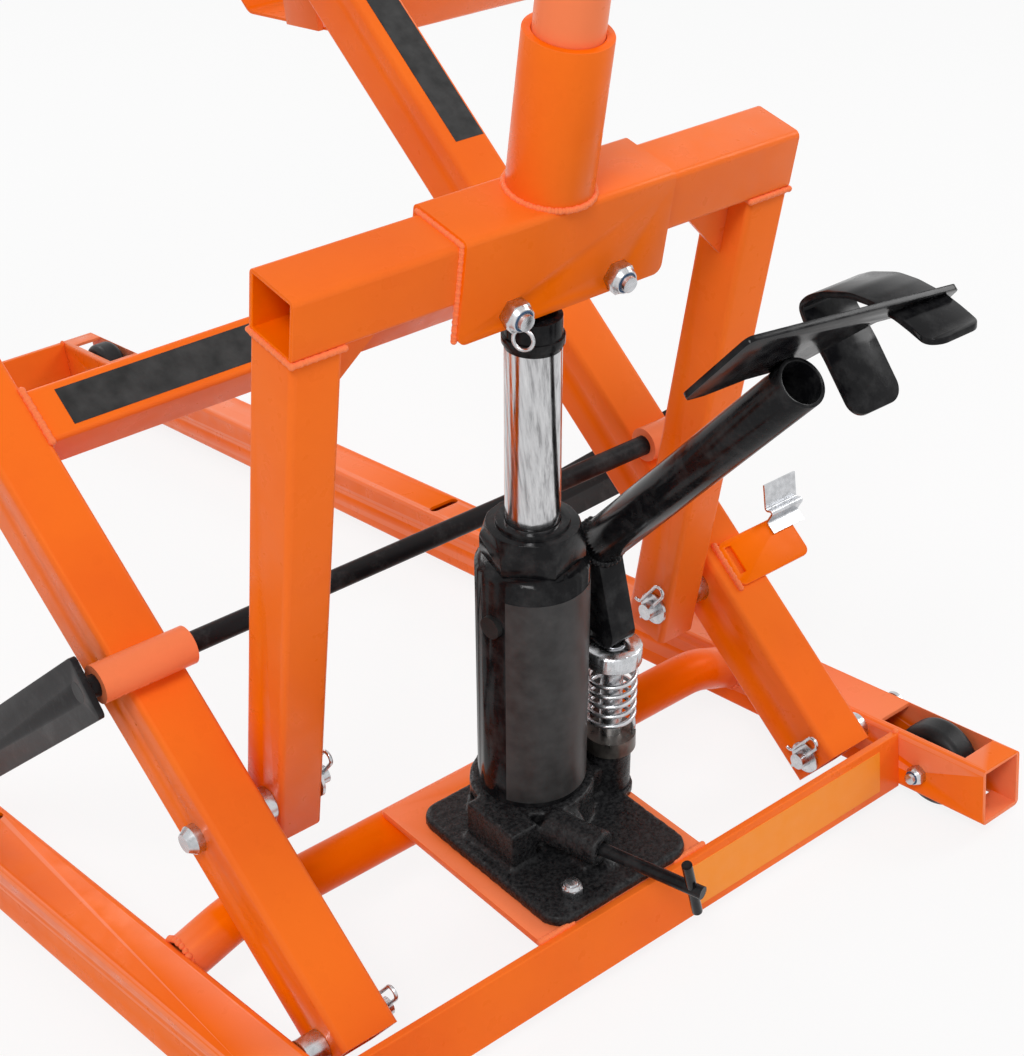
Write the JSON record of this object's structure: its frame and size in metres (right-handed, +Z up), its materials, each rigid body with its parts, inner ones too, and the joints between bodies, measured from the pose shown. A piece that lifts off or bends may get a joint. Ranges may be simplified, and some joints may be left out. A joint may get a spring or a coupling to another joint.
{
  "type": "lawn mower lift",
  "caption": "wheeled tube frame whose hinged arms are raised by a foot pumped bottle jack, with a lock bar, a push handle and two hanging wheel pans",
  "frame": {"origin": "middle of the footprint, on the floor", "axes": "+Y runs from the pedal end to the rear along the rails, +Z is up, +X is to the right"},
  "size_m": [1.0106, 1.3904, 1.0359],
  "materials": {
    "orange_frame": "orange powder coat, glossy",
    "black_gloss": "gloss black enamel",
    "cast_black": "rough casting under gloss black enamel",
    "black_satin": "satin black powder coat",
    "chrome_ram": "polished, lightly rubbed",
    "zinc": "bright zinc plate",
    "spring_steel": "bright wire",
    "collar_steel": "oiled machined steel",
    "wheel_plastic": "black moulded nylon",
    "grip_rubber": "black foam rubber",
    "plug_rubber": "black rubber plug"
  },
  "bodies": {
    "base": {"left_rail": "orange_frame", "right_rail": "orange_frame", "front_bar": "orange_frame", "rear_bar": "orange_frame", "cross_pipe": "orange_frame", "jack_plate": "orange_frame", "jack_base": "cast_black", "jack_cylinder": "black_gloss", "jack_gland": "black_gloss", "jack_plug": "plug_rubber", "jack_bolts": "zinc", "pump_body": "cast_black", "pump_collar": "collar_steel", "pump_links": "black_satin", "wheel_bolts": "zinc", "pivot_pins": "zinc", "pivot_spacers": "zinc", "pivot_clips": "zinc"},
    "front_left_wheel": {"front_left_wheel": "wheel_plastic"},
    "front_right_wheel": {"front_right_wheel": "wheel_plastic"},
    "rear_left_wheel": {"rear_left_wheel": "wheel_plastic"},
    "rear_right_wheel": {"rear_right_wheel": "wheel_plastic"},
    "ram": {"ram_rod": "chrome_ram", "ram_head": "black_gloss"},
    "pump": {"pump_piston": "zinc", "pump_cap": "zinc", "pump_spring": "spring_steel"},
    "pedal": {"pedal_fork": "black_gloss", "pedal_socket": "black_gloss", "pedal_plate": "black_gloss", "pedal_strap": "black_gloss"},
    "valve": {"release_valve": "black_gloss"},
    "lift": {"left_arm": "orange_frame", "right_arm": "orange_frame", "front_cross_tube": "orange_frame", "top_cross_tube": "orange_frame", "rod_bushings": "orange_frame", "clip_bracket": "orange_frame", "spring_clip": "zinc", "leg_pins": "zinc", "leg_spacers": "zinc", "leg_clips": "zinc"},
    "lock_bar": {"lock_rod": "black_satin", "left_lock_plate": "black_satin", "right_lock_plate": "black_satin"},
    "yoke": {"left_yoke_leg": "orange_frame", "right_yoke_leg": "orange_frame", "yoke_beam": "orange_frame", "saddle_bracket": "orange_frame", "saddle_bolts": "zinc", "handle_sleeve": "orange_frame", "handle_post": "orange_frame", "handle_bar": "orange_frame", "handle_grips": "grip_rubber"},
    "left_bar": {"left_pan_bar": "orange_frame"},
    "right_bar": {"right_pan_bar": "orange_frame"},
    "left_pan_body": {"left_hanger": "orange_frame", "left_pan": "orange_frame"},
    "right_pan_body": {"right_hanger": "orange_frame", "right_pan": "orange_frame"}
  },
  "joints": [
    {"name": "lift_pivot", "type": "hinge", "parent": "base", "child": "lift", "pos_m": [0, -0.50632, 0.048], "axis": [1, 0, 0], "range_deg": [-19.5, 15]},
    {"name": "yoke_pivot", "type": "hinge", "parent": "lift", "child": "yoke", "pos_m": [0, -0.40216, 0.15173], "axis": [1, 0, 0], "range_deg": [-18.1, 23.5]},
    {"name": "ram_slide", "type": "slide", "parent": "base", "child": "ram", "axis": [0, -0.1547, 0.988], "range_m": [-0.0456, 0.0351]},
    {"name": "lock_pivot", "type": "hinge", "parent": "lift", "child": "lock_bar", "pos_m": [0, -0.35578, 0.25084], "axis": [1, 0, 0], "range_deg": [-23.4, 30.4]},
    {"name": "left_bar_slide", "type": "slide", "parent": "lift", "child": "left_bar", "axis": [-1, 0, 0], "range_m": [0, 0.08]},
    {"name": "right_bar_slide", "type": "slide", "parent": "lift", "child": "right_bar", "axis": [1, 0, 0], "range_m": [0, 0.08]},
    {"name": "left_pan_pivot", "type": "hinge", "parent": "left_bar", "child": "left_pan_body", "pos_m": [0, 0.2095, 0.83139], "axis": [1, 0, 0], "range_deg": [-15.1, 19.6]},
    {"name": "right_pan_pivot", "type": "hinge", "parent": "right_bar", "child": "right_pan_body", "pos_m": [0, 0.2095, 0.83139], "axis": [1, 0, 0], "range_deg": [-15.1, 19.6]},
    {"name": "pedal_pivot", "type": "hinge", "parent": "base", "child": "pedal", "pos_m": [0.046, -0.44928, 0.20239], "axis": [1, 0, 0], "range_deg": [0, 35], "stiffness_Nm_per_rad": 8, "springref_deg": -51.57},
    {"name": "pump_slide", "type": "slide", "parent": "base", "child": "pump", "axis": [0, -0.1547, 0.988], "range_m": [-0.0176, 0], "deforming": ["pump_spring"]},
    {"name": "valve_turn", "type": "hinge", "parent": "base", "child": "valve", "pos_m": [-0.018, -0.52538, 0.08723], "axis": [0.2756, -0.9497, -0.1487], "range_deg": [0, 180]},
    {"name": "front_left_roll", "type": "hinge", "parent": "base", "child": "front_left_wheel", "pos_m": [-0.2675, -0.56582, 0.032], "axis": [1, 0, 0], "continuous": true},
    {"name": "front_right_roll", "type": "hinge", "parent": "base", "child": "front_right_wheel", "pos_m": [0.2675, -0.56582, 0.032], "axis": [1, 0, 0], "continuous": true},
    {"name": "rear_left_roll", "type": "hinge", "parent": "base", "child": "rear_left_wheel", "pos_m": [-0.2675, 0.63618, 0.032], "axis": [1, 0, 0], "continuous": true},
    {"name": "rear_right_roll", "type": "hinge", "parent": "base", "child": "rear_right_wheel", "pos_m": [0.2675, 0.63618, 0.032], "axis": [1, 0, 0], "continuous": true}
  ],
  "couplings": [
    {"joint": "yoke_pivot", "follows": "lift_pivot", "ratio": -1.2},
    {"joint": "ram_slide", "follows": "lift_pivot", "m_per_rad": 0.1335},
    {"joint": "lock_pivot", "follows": "lift_pivot", "ratio": -1.55},
    {"joint": "left_pan_pivot", "follows": "lift_pivot", "ratio": -1},
    {"joint": "right_pan_pivot", "follows": "lift_pivot", "ratio": -1},
    {"joint": "pump_slide", "follows": "pedal_pivot", "m_per_rad": -0.02865}
  ]
}
